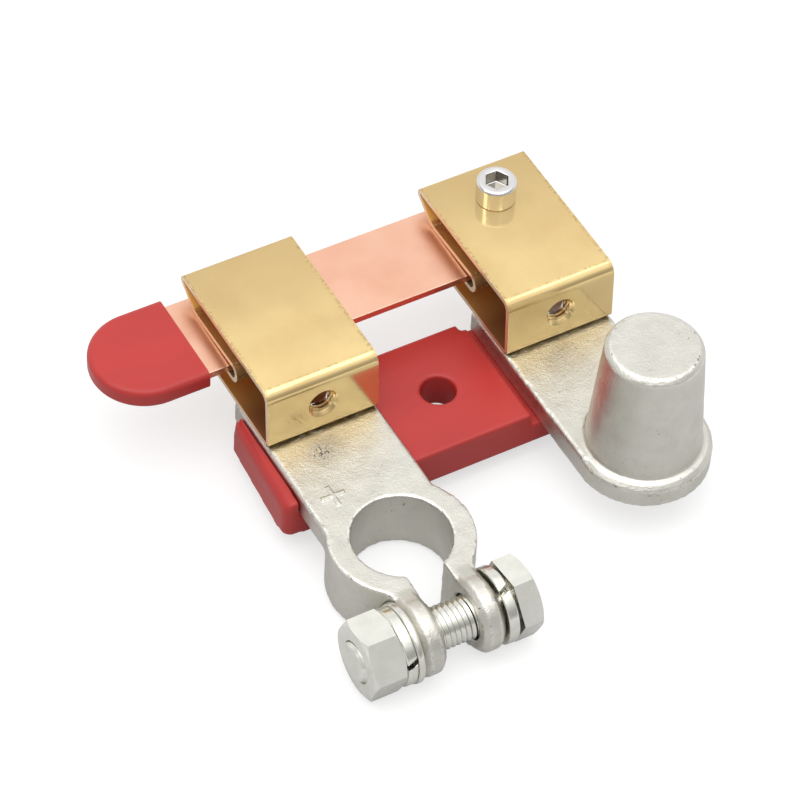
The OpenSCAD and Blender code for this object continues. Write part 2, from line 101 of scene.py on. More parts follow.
class SwitchSizes(bpy.types.PropertyGroup):
    """Sizes of the details that the finished pieces add to the solids"""
    casting_voxel: length("Casting voxel", "Mesh size of the two castings", 0.28)
    casting_lump: length("Casting lumps", "Height of the castings' uneven skin", 0.05)
    rim_nick: length("Rim nicks", "Height of the rims' uneven line", 0.12)
    flash_rise: length("Flash", "Height of the ragged flash along the arms' left edges", 0.3)
    mark_size: length("Plus mark", "Length of the plus mark's strokes", 4.7)
    mark_width: length("Plus stroke", "Width of the plus mark's strokes", 1.0)
    mark_rise: length("Plus relief", "Height of the plus mark", 0.24)
    sheet_edge: length("Sheet edge", "Rounding of the brass sheet's cut edges", 0.12)
    sheet_roll: length("Sheet roll", "Rounding of the upper edges that the die rolled over", 0.6)
    blade_edge: length("Blade edge", "Rounding of the copper blade's edges", 0.2)
    base_voxel: length("Base voxel", "Mesh size of the base plate", 0.33)
    grip_edge: length("Grip edge", "Rounding of the grip's rim", 1.15)
    dish_depth: length("Thumb dish", "Depth of the grip's shallow dish", 0.4)
    dish_reach: length("Dish reach", "Radius of that dish", 7.6)
    bolt_pitch: length("Bolt thread", "Pitch of the clamp bolt's thread", 1.0)
    bolt_cut: length("Bolt thread depth", "Depth of that thread", 0.5)
    tap_pitch: length("Tapped thread", "Pitch of the thread in the jaws' holes", 0.8)
    tap_cut: length("Tapped thread depth", "Depth of that thread", 0.34)
    nut_end: length("Nut end", "Rounding of the clamp nut's outer end", 0.7)
    steel_edge: length("Steel edge", "Rounding of the fasteners' edges", 0.16)


class SwitchFinish(bpy.types.PropertyGroup):
    """Colours and gloss of the finishes, with some painted shade and painted highlight colours
    among them
    """
    brass: colour("Brass", "Polished brass sheet", (0.86, 0.65, 0.31))
    brass_dull: colour("Dull brass", "Brass where it has dulled", (0.78, 0.56, 0.26))
    # Painted shade inside the jaws' folds: dark brown near the front, golden further back
    brass_fold_shade: colour("Dark brass", "Tarnished brass inside the folds", (0.34, 0.12, 0.035))
    brass_deep_fold_shade: colour("Inner brass", "Brass deep inside the folds", (0.95, 0.55, 0.13))
    # Grime and painted shade along the jaws' feet
    brass_grime_and_shade: colour("Brass grime", "Grime along the jaws' feet", (0.10, 0.075, 0.03))
    brass_nick: colour("Brass nicks", "Nicks along the brass edges", (0.30, 0.19, 0.06))
    brass_cut: colour("Cut brass", "Brass on the sheet's cut edges", (0.95, 0.76, 0.55))
    copper: colour("Copper", "Rolled copper blade", (0.93, 0.56, 0.41))
    copper_dull: colour("Dull copper", "Copper where it has darkened", (0.82, 0.43, 0.29))
    copper_nick: colour("Copper nicks", "Nicks along the copper edges", (0.16, 0.04, 0.02))
    red: colour("Red", "Red moulding", (0.50, 0.040, 0.036))
    red_worn: colour("Rubbed red", "Red moulding along rubbed edges", (0.60, 0.09, 0.085))
    casting: colour("Casting", "Tinned casting", (0.75, 0.735, 0.665))
    # Rim colour: real wear with a painted highlight
    casting_worn_and_highlight: colour("Worn casting", "Casting along bright worn rims", (0.95, 0.94, 0.90))
    casting_stain: colour("Casting stains", "Brownish stains on the ears", (0.55, 0.44, 0.38))
    casting_pit: colour("Casting pits", "Casting in its dark pits", (0.22, 0.20, 0.17))
    casting_nick: colour("Casting nicks", "Brown nicks along the castings' rims",
                         (0.24, 0.17, 0.11))
    # Grime and painted shade on the castings before the jaws
    casting_grime_and_shade: colour("Casting grime", "Grime on the castings before the jaws",
                          (0.24, 0.18, 0.07))
    # Painted shade on a socket's upright walls
    socket_wall_shade: colour("Socket walls", "Steel on a socket's upright walls",
                        (0.34, 0.32, 0.28))
    nickel: colour("Nickel", "Bright nickel plate", (0.80, 0.79, 0.78))
    zinc: colour("Zinc", "Zinc plate", (0.88, 0.87, 0.80))
    brass_rough: share("Brass roughness", "Roughness of the brass", 0.12)
    copper_rough: share("Copper roughness", "Roughness of the copper", 0.30)
    red_rough: share("Red roughness", "Roughness of the moulding", 0.33)
    casting_rough: share("Casting roughness", "Roughness of the castings", 0.30)
    nickel_rough: share("Nickel roughness", "Roughness of the nickel", 0.07)
    zinc_rough: share("Zinc roughness", "Roughness of the zinc", 0.17)


class SwitchStage(bpy.types.PropertyGroup):
    """Camera, floor and lamps"""
    lens: FloatProperty(
        name="Lens", description="Focal length in mm on a 36 mm frame", default=173.71)
    yaw: FloatProperty(
        name="Yaw", description="Camera's heading", default=math.radians(31.64),
        subtype="ANGLE")
    pitch: FloatProperty(
        name="Pitch", description="Camera's downward tilt", default=math.radians(48.41),
        subtype="ANGLE")
    roll: FloatProperty(
        name="Roll", description="Camera's roll", default=math.radians(3.56),
        subtype="ANGLE")
    place: FloatVectorProperty(
        name="Place", description="Where the camera stands",
        default=(-0.22203, -0.35704, 0.52069), subtype="TRANSLATION")
    floor_reach: length("Floor", "Half the floor's width", 1500)
    lamp_level: FloatProperty(
        name="Lamps", description="Level of all the lamps", default=1.0, min=0)
    sky_level: FloatProperty(
        name="Room", description="Level of the room's light", default=1.2, min=0)


# Mesh helpers

def copied(*nodes):
    """Merged copy of CAD nodes with their flat faces joined"""
    bm = bmesh.new()
    for node in nodes:
        bm.from_mesh(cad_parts[node].data)
    bmesh.ops.remove_doubles(bm, verts=bm.verts[:], dist=WELD)
    bmesh.ops.dissolve_limit(
        bm, angle_limit=FLAT, use_dissolve_boundaries=False,
        verts=bm.verts[:], edges=bm.edges[:],
    )
    return bm


def corners(bm, least=28):
    """Edges where two faces meet at more than that many degrees"""
    limit = math.radians(least)
    return [e for e in bm.edges if len(e.link_faces) == 2 and e.calc_face_angle(0) > limit]


def rounded(bm, edges, width, segments=3):
    """Rounds edges with a bevel"""
    bmesh.ops.bevel(
        bm, geom=edges, offset=width, offset_type="OFFSET", segments=segments,
        profile=0.5, affect="EDGES", clamp_overlap=True, material=-1,
        loop_slide=True,
    )


def box(bm, low, high):
    """Adds a box between two corners"""
    low = Vector(low)
    high = Vector(high)
    size = high - low
    place = Matrix.Translation((low + high) / 2) @ Matrix.Diagonal(size).to_4x4()
    return bmesh.ops.create_cube(bm, size=1, matrix=place)["verts"]


def closed(bm):
    """Closes open ends and turns the faces outwards"""
    bmesh.ops.remove_doubles(bm, verts=bm.verts[:], dist=WELD)
    rims = [e for e in bm.edges if e.is_boundary]
    if rims:
        bmesh.ops.holes_fill(bm, edges=rims, sides=0)
    bmesh.ops.recalc_face_normals(bm, faces=bm.faces[:])


def remeshed(bm, voxel):
    """The closed shapes in bm as one skin of even small faces"""
    mesh = bpy.data.meshes.new("blank")
    bm.to_mesh(mesh)
    bm.free()
    blank = bpy.data.objects.new("blank", mesh)
    bpy.context.scene.collection.objects.link(blank)
    skin = blank.modifiers.new("skin", "REMESH")
    skin.mode = "VOXEL"
    skin.voxel_size = voxel
    shape = blank.evaluated_get(bpy.context.evaluated_depsgraph_get())
    done = bmesh.new()
    done.from_mesh(shape.to_mesh())
    shape.to_mesh_clear()
    bpy.data.objects.remove(blank)
    bpy.data.meshes.remove(mesh)
    if not done.faces:
        raise RuntimeError("the remesh came back empty")
    return done


def softened(bm, rounds, verts=None):
    """Softens a dense skin, or a part of it"""
    for _ in range(rounds):
        bmesh.ops.smooth_vert(
            bm, verts=verts or bm.verts[:], factor=0.5,
            use_axis_x=True, use_axis_y=True, use_axis_z=True,
        )


def lumpy(bm, height, grain):
    """Lifts and sinks a dense skin like the skin of a sand casting"""
    bm.normal_update()
    for vert in bm.verts:
        wide = noise.noise(vert.co / (grain * 4.5))
        fine = noise.noise(vert.co / grain + Vector((7, 3, 1)))
        vert.co += vert.normal * height * (0.6 * wide + 0.4 * fine)


def rough_rims(bm, size, height):
    """Marks how sharply a dense skin bends outwards and makes those rims ragged"""
    layer = bm.verts.layers.float.new("rim")
    bm.normal_update()
    for vert in bm.verts:
        around = sum((e.other_vert(vert).co for e in vert.link_edges), Vector())
        bend = (vert.co - around / len(vert.link_edges)).dot(vert.normal) / size
        vert[layer] = max(0.0, min(1.0, (bend - LEAST_BEND) / BEND_RANGE))
    for vert in bm.verts:
        vert.co += vert.normal * height * vert[layer] * noise.noise(vert.co / (0.7 * MM))


def flash(bm, x, near, far, top, rise):
    """Raises a ragged ridge along an upper edge that runs along Y"""
    for vert in bm.verts:
        aside = abs(vert.co.x - x)
        if aside < 0.7 * MM and near < vert.co.y < far and vert.co.z > top - 0.9 * MM:
            ragged = noise.noise(Vector((x * 900, vert.co.y * 480, 0)))
            ends = min(vert.co.y - near, far - vert.co.y, 0.8 * MM) / (0.8 * MM)
            share_up = max(0.0, 0.45 + ragged) * (1 - aside / (0.7 * MM)) * ends
            vert.co.z += rise * share_up
            vert.co.x -= 0.5 * rise * share_up


def helix(bm, centre, axis, outer, inner, pitch, turns, steps=40):
    """Adds a closed V-shaped ridge that winds inwards round an axis"""
    side = axis.orthogonal().normalized()
    points = [
        centre + side * outer,
        centre + side * outer + axis * pitch * 0.8,
        centre + side * inner + axis * pitch * 0.48,
        centre + side * inner + axis * pitch * 0.32,
    ]
    verts = [bm.verts.new(point) for point in points]
    face = bm.faces.new(verts)
    known = set(bm.verts)
    bmesh.ops.spin(
        bm, geom=[face] + face.edges[:] + verts, cent=centre, axis=axis,
        dvec=axis * (pitch / steps), angle=TURN * turns, steps=int(steps * turns),
        use_merge=False, use_normal_flip=False, use_duplicate=False,
    )
    fresh = verts + [v for v in bm.verts if v not in known]
    faces = list({f for v in fresh for f in v.link_faces})
    rims = [e for e in {e for f in faces for e in f.edges} if e.is_boundary]
    if rims:
        faces += bmesh.ops.holes_fill(bm, edges=rims, sides=0)["faces"]
    bmesh.ops.recalc_face_normals(bm, faces=faces)


def threaded_rod(low, high, radius, cut, pitch, chamfer, steps=56):
    """Rod along X with a screw thread, its low end chamfered"""
    bm = bmesh.new()
    root = radius - cut
    shape = ((0.0, root), (0.12, root), (0.5, radius), (0.62, radius))
    first = low - 2 * pitch
    chain = []
    for turn in range(int((high - first) / pitch) + 2):
        for along, r in shape:
            chain.append(bm.verts.new((first + (turn + along) * pitch, 0, r)))
    edges = [bm.edges.new(pair) for pair in zip(chain, chain[1:])]
    bmesh.ops.spin(
        bm, geom=chain + edges, cent=(0, 0, 0), axis=X_AXIS,
        dvec=X_AXIS * (pitch / steps), angle=TURN, steps=steps,
        use_merge=False, use_normal_flip=False, use_duplicate=False,
    )
    bmesh.ops.remove_doubles(bm, verts=bm.verts[:], dist=WELD)
    for place, way in ((low, -1), (high, 1)):
        bmesh.ops.bisect_plane(
            bm, geom=bm.verts[:] + bm.edges[:] + bm.faces[:], dist=WELD / 10,
            plane_co=(place, 0, 0), plane_no=X_AXIS * way, clear_outer=True,
        )
    for vert in bm.verts:
        reach = math.hypot(vert.co.y, vert.co.z)
        most = root - chamfer * 0.2 + max(0.0, vert.co.x - low)
        if vert.co.x < low + chamfer and reach > most:
            vert.co.y *= most / reach
            vert.co.z *= most / reach
    closed(bm)
    return bm


def joined(bm, other):
    """Adds another bmesh to bm"""
    mesh = bpy.data.meshes.new("blank")
    other.to_mesh(mesh)
    other.free()
    bm.from_mesh(mesh)
    bpy.data.meshes.remove(mesh)


def piece(bm, name, material, body, nodes, smooth=35):
    """Makes an object of bm that stands for CAD nodes"""
    if not bm.faces:
        raise RuntimeError(name + " has no faces")
    mesh = bpy.data.meshes.new(name)
    bm.to_mesh(mesh)
    bm.free()
    mesh.shade_smooth()
    mesh.set_sharp_from_angle(angle=math.radians(smooth))
    mesh.materials.append(material)
    thing = bpy.data.objects.new(name, mesh)
    bpy.context.scene.collection.objects.link(thing)
    even = thing.modifiers.new("even_shading", "WEIGHTED_NORMAL")
    even.keep_sharp = True
    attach(thing, body)
    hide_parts(*nodes)
    return thing


# Material helpers

class Wiring:
    """Adds nodes to one node tree and joins them"""

    def __init__(self, tree):
        self.tree = tree

    def add(self, kind, feeds=None, **settings):
        node = self.tree.nodes.new(kind)
        for key, value in settings.items():
            setattr(node, key, value)
        for socket, value in (feeds or {}).items():
            self.feed(node, socket, value)
        return node

    def feed(self, node, socket, value):
        target = node.inputs[socket]
        if isinstance(value, bpy.types.NodeSocket):
            self.tree.links.new(value, target)
        elif hasattr(target.default_value, "__len__") and len(target.default_value) == 4:
            target.default_value = (*value, 1)
        else:
            target.default_value = value

    def noise(self, vector, scale, detail=2.0, rough=0.5):
        return self.add("ShaderNodeTexNoise", {
            "Vector": vector, "Scale": scale, "Detail": detail, "Roughness": rough,
        }).outputs["Fac"]

    def stretch(self, vector, scale):
        return self.add("ShaderNodeMapping", {
            "Vector": vector, "Scale": scale,
        }).outputs["Vector"]

    def ramp(self, value, low, high, out_low=0.0, out_high=1.0):
        return self.add("ShaderNodeMapRange", {
            "Value": value, "From Min": low, "From Max": high,
            "To Min": out_low, "To Max": out_high,
        }, clamp=True).outputs["Result"]

    def math(self, operation, first, second=0.0):
        return self.add("ShaderNodeMath", {0: first, 1: second},
                        operation=operation).outputs[0]

    def mix(self, factor, first, second):
        node = self.add("ShaderNodeMix", data_type="RGBA")
        self.feed(node, 0, factor)
        self.feed(node, 6, first)
        self.feed(node, 7, second)
        return node.outputs[2]


def effect(name, inputs, outputs, build):
    """Shader node group with named inputs and outputs, built once"""
    if name in bpy.data.node_groups:
        return bpy.data.node_groups[name]
    tree = bpy.data.node_groups.new(name, "ShaderNodeTree")
    for socket, kind, value in inputs:
        made = tree.interface.new_socket(name=socket, in_out="INPUT", socket_type=kind)
        if value is not None:
            made.default_value = value
    for socket in outputs:
        tree.interface.new_socket(
            name=socket, in_out="OUTPUT", socket_type="NodeSocketFloat")
    wiring = Wiring(tree)
    source = wiring.add("NodeGroupInput").outputs
    sink = wiring.add("NodeGroupOutput")
    for socket, value in build(wiring, source).items():
        wiring.feed(sink, socket, value)
    return tree


VECTOR = ("Vector", "NodeSocketVector", None)


def edge_wear():
    """Masks of rubbed edges and of small nicks in them"""
    def build(w, source):
        rounded_normal = w.add(
            "ShaderNodeBevel", {"Radius": source["Radius"]}, samples=6).outputs["Normal"]
        normal = w.add("ShaderNodeNewGeometry").outputs["Normal"]
        facing = w.add("ShaderNodeVectorMath", {0: rounded_normal, 1: normal},
                       operation="DOT_PRODUCT").outputs["Value"]
        bent = w.ramp(facing, 1.0, 0.86)
        patches = w.noise(source["Vector"], source["Patch Scale"], 3.0, 0.6)
        rubbed = w.math("MULTIPLY", bent, w.ramp(patches, 0.3, 0.62))
        flecks = w.noise(source["Vector"], source["Nick Scale"], 2.0, 0.6)
        nicks = w.math("MULTIPLY", bent, w.ramp(flecks, 0.60, 0.68))
        return {"Rubbed": rubbed, "Nicks": nicks}
    return effect("Edge wear", [
        VECTOR,
        ("Radius", "NodeSocketFloat", 0.4 * MM),
        ("Patch Scale", "NodeSocketFloat", 300.0),
        ("Nick Scale", "NodeSocketFloat", 1100.0),
    ], ["Rubbed", "Nicks"], build)


def cast_skin():
    """Grain, pits and tone of a sand casting's skin"""
    def build(w, source):
        vector = source["Vector"]
        coarse = w.noise(vector, source["Grain Scale"], 5.0, 0.65)
        fine = w.noise(vector, w.math("MULTIPLY", source["Grain Scale"], 3.1), 3.0, 0.6)
        cells = w.add("ShaderNodeTexVoronoi", {
            "Vector": vector, "Scale": w.math("MULTIPLY", source["Grain Scale"], 0.9),
        }).outputs["Distance"]
        height = w.math("ADD", w.math("MULTIPLY", coarse, 0.9),
                        w.math("MULTIPLY", fine, 0.3))
        height = w.math("ADD", height, w.math("MULTIPLY", cells, 0.35))
        pits = w.math("MULTIPLY",
                      w.ramp(w.noise(vector, source["Pit Scale"], 2.0, 0.7), 0.66, 0.74),
                      w.ramp(w.noise(vector, 150.0, 2.0, 0.5), 0.50, 0.62))
        height = w.math("SUBTRACT", height, w.math("MULTIPLY", pits, 0.8))
        tone = w.noise(vector, 240.0, 4.0, 0.6)
        return {"Height": height, "Pits": pits, "Tone": tone}
    return effect("Cast skin", [
        VECTOR,
        ("Grain Scale", "NodeSocketFloat", 3000.0),
        ("Pit Scale", "NodeSocketFloat", 1400.0),
    ], ["Height", "Pits", "Tone"], build)


def sheet_skin():
    """Rolling streaks, cloudy patches and a slow wave of rolled sheet"""
    def build(w, source):
        vector = source["Vector"]
        along = w.stretch(vector, (1.0, 0.06, 1.0))
        streaks = w.noise(along, source["Streak Scale"], 4.0, 0.6)
        clouds = w.noise(vector, source["Cloud Scale"], 3.0, 0.5)
        wave = w.noise(vector, source["Wave Scale"], 1.0, 0.4)
        return {"Streaks": streaks, "Clouds": clouds, "Wave": wave}
    return effect("Sheet skin", [
        VECTOR,
        ("Streak Scale", "NodeSocketFloat", 2600.0),
        ("Cloud Scale", "NodeSocketFloat", 110.0),
        ("Wave Scale", "NodeSocketFloat", 70.0),
    ], ["Streaks", "Clouds", "Wave"], build)


def plate_skin():
    """Faint haze, fine scratches and dimples of plated steel"""
    def build(w, source):
        vector = source["Vector"]
        haze = w.noise(vector, 320.0, 4.0, 0.6)
        dimples = w.noise(vector, 1500.0, 3.0, 0.6)
        scratches = w.ramp(
            w.noise(w.stretch(vector, (1.0, 0.08, 0.5)), 1900.0, 2.0, 0.6), 0.6, 0.72)
        return {"Haze": haze, "Dimples": dimples, "Scratches": scratches}
    return effect("Plate skin", [VECTOR], ["Haze", "Dimples", "Scratches"], build)


def moulded_skin():
    """Slow flow wave, fine orange peel and dust of a plastic moulding"""
    def build(w, source):
        vector = source["Vector"]
        flow = w.noise(w.stretch(vector, (0.5, 1.0, 1.0)), 90.0, 2.0, 0.5)
        peel = w.noise(vector, 2300.0, 3.0, 0.6)
        scuffs = w.ramp(
            w.noise(w.stretch(vector, (0.2, 1.0, 1.0)), 1500.0, 3.0, 0.6), 0.62, 0.75)
        return {"Flow": flow, "Peel": peel, "Scuffs": scuffs}
    return effect("Moulded skin", [VECTOR], ["Flow", "Peel", "Scuffs"], build)


def blank_material(name, metallic=0.0):
    """Material with a Principled shader, its wiring and its object coordinates"""
    material = bpy.data.materials.new(name)
    material.use_nodes = True
    wiring = Wiring(material.node_tree)
    shader = material.node_tree.nodes["Principled BSDF"]
    shader.inputs["Metallic"].default_value = metallic
    coords = wiring.add("ShaderNodeTexCoord").outputs["Object"]
    return material, wiring, shader, coords


def use_group(w, tree, vector, **values):
    node = w.add("ShaderNodeGroup", node_tree=tree)
    w.feed(node, "Vector", vector)
    for socket, value in values.items():
        w.feed(node, socket.replace("_", " "), value)
    return node.outputs


def bumped(w, shader, height, depth, strength=1.0):
    normal = w.add("ShaderNodeBump", {
        "Height": height, "Distance": depth, "Strength": strength,
    }).outputs["Normal"]
    w.feed(shader, "Normal", normal)


def cast_metal(finish):
    """Tinned sand casting with bright rims of real wear carrying a painted highlight"""
    material, w, shader, coords = blank_material("tinned_casting", 1.0)
    skin = use_group(w, cast_skin(), coords)
    rim = w.add("ShaderNodeAttribute", attribute_name="rim").outputs["Fac"]
    # Bright rims: real wear with a painted highlight on them
    rubbed = w.math("MULTIPLY", rim, w.ramp(w.noise(coords, 300.0, 3.0, 0.6), 0.3, 0.55))
    nicks = w.math("MULTIPLY", w.ramp(rim, 0.15, 0.5),
                   w.ramp(w.noise(coords, 1000.0, 3.0, 0.7), 0.56, 0.66))
    tinted = w.mix(w.ramp(skin["Tone"], 0.3, 0.7),
                   tuple(0.88 * c for c in finish.casting), finish.casting)
    away = w.add("ShaderNodeVectorMath", {
        0: coords, 1: (-3.25 * MM, 22.75 * MM, 12.2 * MM),
    }, operation="DISTANCE").outputs["Value"]
    cluster = w.math("MULTIPLY", w.ramp(away, 2.6 * MM, 0.8 * MM),
                     w.ramp(w.noise(coords, 2400.0, 2.0, 0.7), 0.53, 0.60))
    place = w.add("ShaderNodeSeparateXYZ", {"Vector": coords}).outputs
    stains = w.math("MULTIPLY", w.ramp(place["Y"], -9.0 * MM, -12.0 * MM),
                    w.ramp(w.noise(coords, 260.0, 3.0, 0.6), 0.50, 0.72))
    tinted = w.mix(w.math("MULTIPLY", stains, 0.45), tinted, finish.casting_stain)
    # Grime and painted shade on the castings just before the jaws' front walls, heavier at the
    # left jaw
    foot = w.math("MULTIPLY", w.ramp(place["Y"], 26.3 * MM, 27.3 * MM),
                  w.ramp(place["Y"], 28.2 * MM, 27.6 * MM))
    foot = w.math("MULTIPLY", foot, w.ramp(place["Z"], 11.7 * MM, 12.0 * MM))
    foot = w.math("MULTIPLY", foot, w.ramp(place["X"], 42.0 * MM, 12.0 * MM, 0.55, 1.0))
    foot = w.math("MULTIPLY", foot, w.ramp(
        w.noise(w.stretch(coords, (0.4, 1.0, 1.0)), 1300.0, 3.0, 0.6), 0.34, 0.50))
    tinted = w.mix(w.math("MULTIPLY", foot, 0.85), tinted, finish.casting_grime_and_shade)
    pits = w.math("MAXIMUM", skin["Pits"], cluster)
    pitted = w.mix(pits, tinted, finish.casting_pit)
    worn_and_highlit = w.mix(rubbed, pitted, finish.casting_worn_and_highlight)
    w.feed(shader, "Base Color", w.mix(w.math("MULTIPLY", nicks, 0.75), worn_and_highlit,
                                       finish.casting_nick))
    rough = w.ramp(skin["Tone"], 0.3, 0.7, finish.casting_rough, finish.casting_rough + 0.1)
    rough = w.math("SUBTRACT", rough, w.math("MULTIPLY", rubbed, 0.16))
    w.feed(shader, "Roughness", rough)
    height = w.math("SUBTRACT", skin["Height"], w.math("MULTIPLY", cluster, 0.9))
    height = w.math("SUBTRACT", height, w.math("MULTIPLY", nicks, 0.8))
    bumped(w, shader, height, 0.085 * MM, 0.85)
    return material


def brass_sheet(finish):
    """Polished brass sheet with nicked edges, painted shade inside the folds and towards the
    back, and dark feet that hold both dirt and painted shade
    """
    material, w, shader, coords = blank_material("brass_sheet", 1.0)
    skin = use_group(w, sheet_skin(), coords)
    wear = use_group(w, edge_wear(), coords, Radius=0.35 * MM)
    tinted = w.mix(w.ramp(skin["Clouds"], 0.35, 0.75), finish.brass, finish.brass_dull)
    facing = w.add("ShaderNodeSeparateXYZ", {
        "Vector": w.add("ShaderNodeNewGeometry").outputs["True Normal"]}).outputs
    place = w.add("ShaderNodeSeparateXYZ", {"Vector": coords}).outputs
    aside = w.math("ABSOLUTE", facing["X"])
    cut = w.ramp(aside, 0.85, 0.95)
    under = w.ramp(facing["Z"], -0.90, -0.95)
    behind = w.math("MULTIPLY", w.ramp(facing["Y"], 0.5, 0.7),
                    w.ramp(place["Y"], 30.5 * MM, 29.5 * MM))
    floor = w.math("MULTIPLY", w.ramp(facing["Z"], 0.5, 0.7),
                   w.ramp(place["Z"], 14.0 * MM, 13.5 * MM))
    slope = w.math("MULTIPLY", w.ramp(facing["Y"], -0.3, -0.5),
                   w.ramp(place["Y"], 38.0 * MM, 41.0 * MM))
    # Faces turned down, backwards or inwards inside the folds get painted shade
    fold_shade_mask = w.math("MAXIMUM", w.math("MAXIMUM", under, slope),
                    w.math("MAXIMUM", behind, floor))
    depth = w.ramp(place["Y"], 35.0 * MM, 50.0 * MM)
    # Grime and painted shade along the foot of each jaw's front wall
    foot = w.math("MULTIPLY", w.ramp(place["Z"], 13.2 * MM, 12.6 * MM),
                  w.ramp(place["Y"], 28.4 * MM, 28.2 * MM))
    grime_and_shade = w.math("MULTIPLY", foot, w.ramp(
        w.noise(w.stretch(coords, (0.35, 1.0, 1.0)), 1500.0, 3.0, 0.6), 0.30, 0.55))
    # Painted shade: the brass gets darker towards the back
    far = w.ramp(place["Y"], 36.0 * MM, 60.0 * MM)
    tinted = w.mix(w.math("MULTIPLY", far, 0.7), tinted,
                   tuple(0.86 * c for c in finish.brass_dull))
    tinted = w.mix(cut, tinted, finish.brass_cut)
    # Painted shade colour inside the folds: dark brown at the front, golden further back
    inside = w.mix(depth, finish.brass_fold_shade, finish.brass_deep_fold_shade)
    tinted = w.mix(w.math("MULTIPLY", fold_shade_mask, 0.9), tinted, inside)
    w.feed(shader, "Metallic", w.math("SUBTRACT", 0.86, w.math(
        "MULTIPLY", fold_shade_mask, w.ramp(depth, 0.0, 1.0, 0.05, 0.55))))
    tinted = w.mix(w.math("MULTIPLY", grime_and_shade, 0.8), tinted, finish.brass_grime_and_shade)
    half = (high("contact_jaw").x - low("contact_jaw").x) / 2
    off = w.math("MINIMUM", *(w.math("ABSOLUTE", w.math(
        "SUBTRACT", place["X"], middle(node).x)) for node in ("contact_jaw", "pivot_jaw")))
    rolled = w.math("MULTIPLY", w.ramp(off, half - 0.75 * MM, half - 0.35 * MM),
                    w.ramp(place["Z"], high("contact_jaw").z - 2 * MM, high("contact_jaw").z))
    bend = w.math("MULTIPLY", w.ramp(facing["Y"], -0.03, -0.08),
                  w.ramp(facing["Y"], -0.30, -0.20))
    edges = w.math("MULTIPLY", w.math("MAXIMUM", rolled, bend), w.ramp(facing["Z"], 0.2, 0.4))
    nicks = w.math("MULTIPLY", edges, w.ramp(
        w.noise(coords, 1700.0, 5.0, 0.7), 0.44, 0.60))
    nicks = w.math("MAXIMUM", nicks, wear["Nicks"])
    nicked = w.mix(w.math("MULTIPLY", nicks, 0.5), tinted, finish.brass_nick)
    w.feed(shader, "Base Color", nicked)
    rough = w.ramp(skin["Streaks"], 0.3, 0.7, finish.brass_rough - 0.03,
                   finish.brass_rough + 0.04)
    rough = w.math("ADD", rough, w.math("MULTIPLY", wear["Nicks"], 0.3))
    rough = w.math("ADD", rough, w.math("MULTIPLY", cut, 0.3))
    rough = w.math("ADD", rough, w.math("MULTIPLY", fold_shade_mask, 0.3))
    w.feed(shader, "Roughness", rough)
    bow = w.math("POWER", w.ramp(place["Y"], 34.0 * MM, 61.0 * MM), 2.0)
    height = w.math("ADD", w.math("MULTIPLY", skin["Wave"], 5.0),
                    w.math("MULTIPLY", skin["Streaks"], 0.015))
    height = w.math("SUBTRACT", height, w.math("MULTIPLY", bow, 9.0))
    height = w.math("SUBTRACT", height, w.math("MULTIPLY", nicks, 0.6))
    bumped(w, shader, height, 0.06 * MM, 1.0)
    return material


def copper_sheet(finish):
    """Rolled copper with a soft mirror and darker flecks"""
    material, w, shader, coords = blank_material("copper_blade", 1.0)
    skin = use_group(w, sheet_skin(), coords, Cloud_Scale=70.0)
    wear = use_group(w, edge_wear(), coords, Radius=0.4 * MM)
    tinted = w.mix(w.ramp(skin["Clouds"], 0.4, 0.72), finish.copper, finish.copper_dull)
    nicked = w.mix(w.math("MULTIPLY", wear["Nicks"], 0.8), tinted, finish.copper_nick)
    w.feed(shader, "Base Color", nicked)
    rough = w.ramp(skin["Clouds"], 0.3, 0.7, finish.copper_rough - 0.05,
                   finish.copper_rough + 0.06)
    w.feed(shader, "Roughness", w.math("ADD", rough,
                                       w.math("MULTIPLY", wear["Nicks"], 0.25)))
    bumped(w, shader, skin["Wave"], 0.18 * MM, 1.0)
    return material


def red_plastic(finish):
    """Semi-gloss red moulding"""
    material, w, shader, coords = blank_material("red_moulding")
    shader.inputs["IOR"].default_value = 1.42
    skin = use_group(w, moulded_skin(), coords)
    wear = use_group(w, edge_wear(), coords, Radius=0.8 * MM)
    tinted = w.mix(w.ramp(skin["Flow"], 0.35, 0.7), finish.red,
                   tuple(0.90 * c for c in finish.red))
    rubbed = w.math("MULTIPLY", wear["Rubbed"], 0.5)
    w.feed(shader, "Base Color", w.mix(rubbed, tinted, finish.red_worn))
    rough = w.ramp(skin["Peel"], 0.3, 0.7, finish.red_rough - 0.04, finish.red_rough + 0.06)
    w.feed(shader, "Roughness", w.math("ADD", rough,
                                       w.math("MULTIPLY", skin["Scuffs"], 0.08)))
    height = w.math("ADD", w.math("MULTIPLY", skin["Flow"], 2.0),
                    w.math("MULTIPLY", skin["Peel"], 0.12))
    bumped(w, shader, height, 0.05 * MM, 1.0)
    return material


